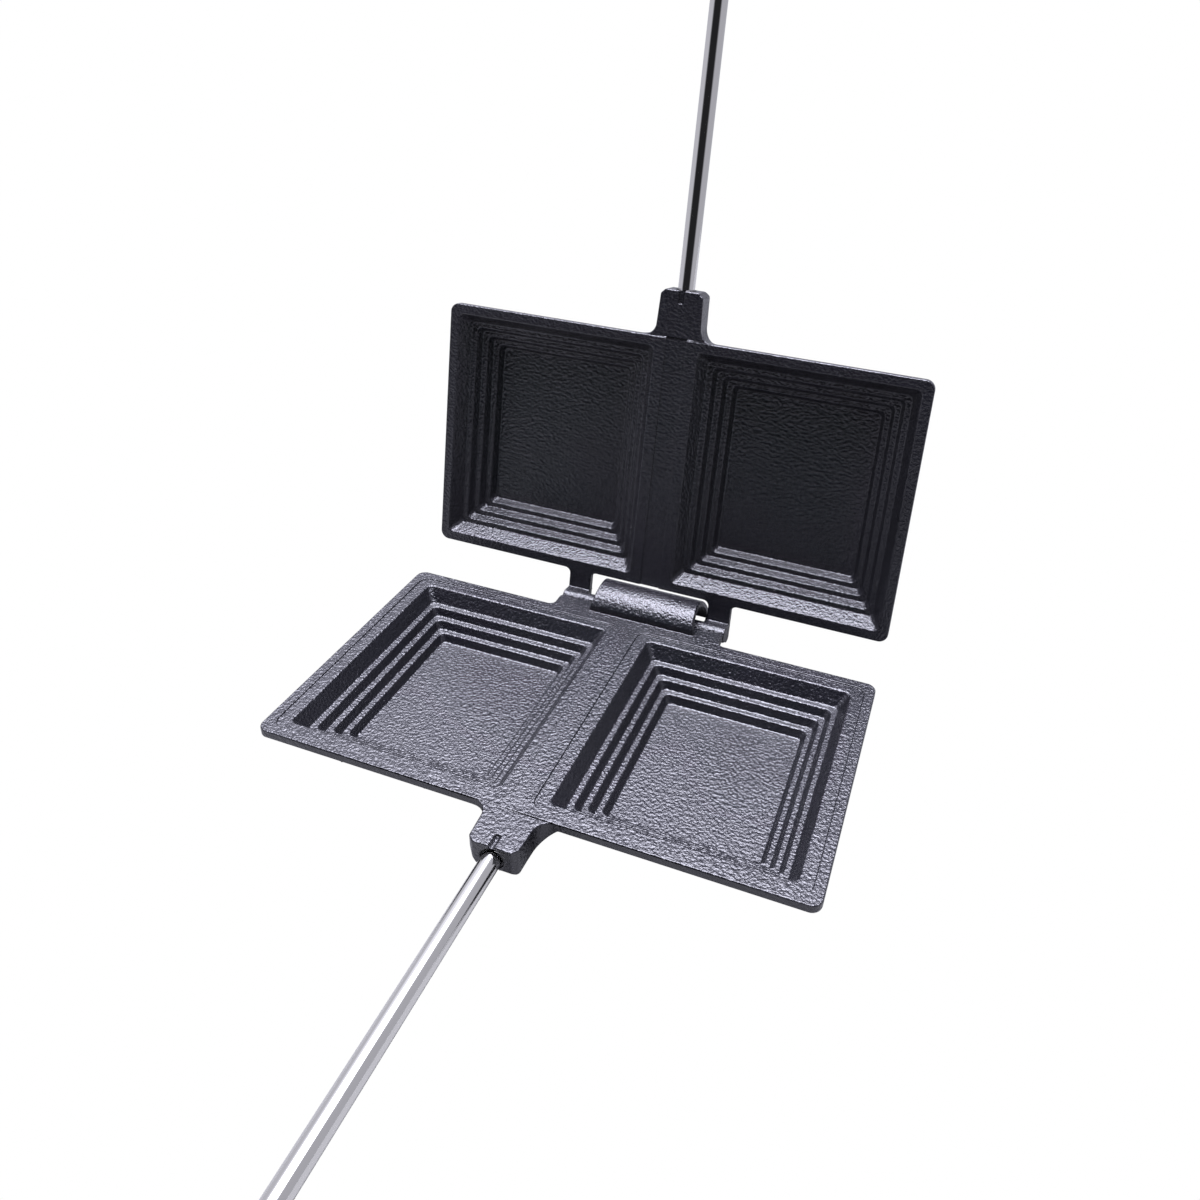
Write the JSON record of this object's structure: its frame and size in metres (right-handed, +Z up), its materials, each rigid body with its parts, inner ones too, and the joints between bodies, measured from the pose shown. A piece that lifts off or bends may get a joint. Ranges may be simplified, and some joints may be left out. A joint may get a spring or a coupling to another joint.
{
  "type": "double pie iron",
  "caption": "Cast-iron campfire sandwich press: hinged halves with stepped pockets, hooked together at the back, on long steel rods with turned wooden grips.",
  "frame": {"origin": "on the table, under the centre of the lower casting's plate", "axes": "+X across the two pockets, +Y from the grips towards the hinge, +Z up"},
  "size_m": [0.24, 0.8558, 0.7015],
  "materials": {
    "iron": "seasoned sand casting",
    "rod_chrome": "bright plated",
    "grip_wood": "oiled",
    "fitting_steel": "zinc plated"
  },
  "bodies": {
    "lower_half": {"lower_casting": "iron", "lower_rod": "rod_chrome", "lower_grip": "grip_wood", "lower_ferrule": "fitting_steel", "lower_washer": "fitting_steel", "lower_end_nut": "fitting_steel"},
    "upper_half": {"upper_casting": "iron", "upper_rod": "rod_chrome", "upper_grip": "grip_wood", "upper_ferrule": "fitting_steel", "upper_washer": "fitting_steel", "upper_end_nut": "fitting_steel"}
  },
  "joints": [
    {"name": "hinge", "type": "hinge", "parent": "lower_half", "child": "upper_half", "pos_m": [0, 0.0774, 0.0193], "axis": [1, 0, 0], "range_deg": [0, 101.5]}
  ]
}
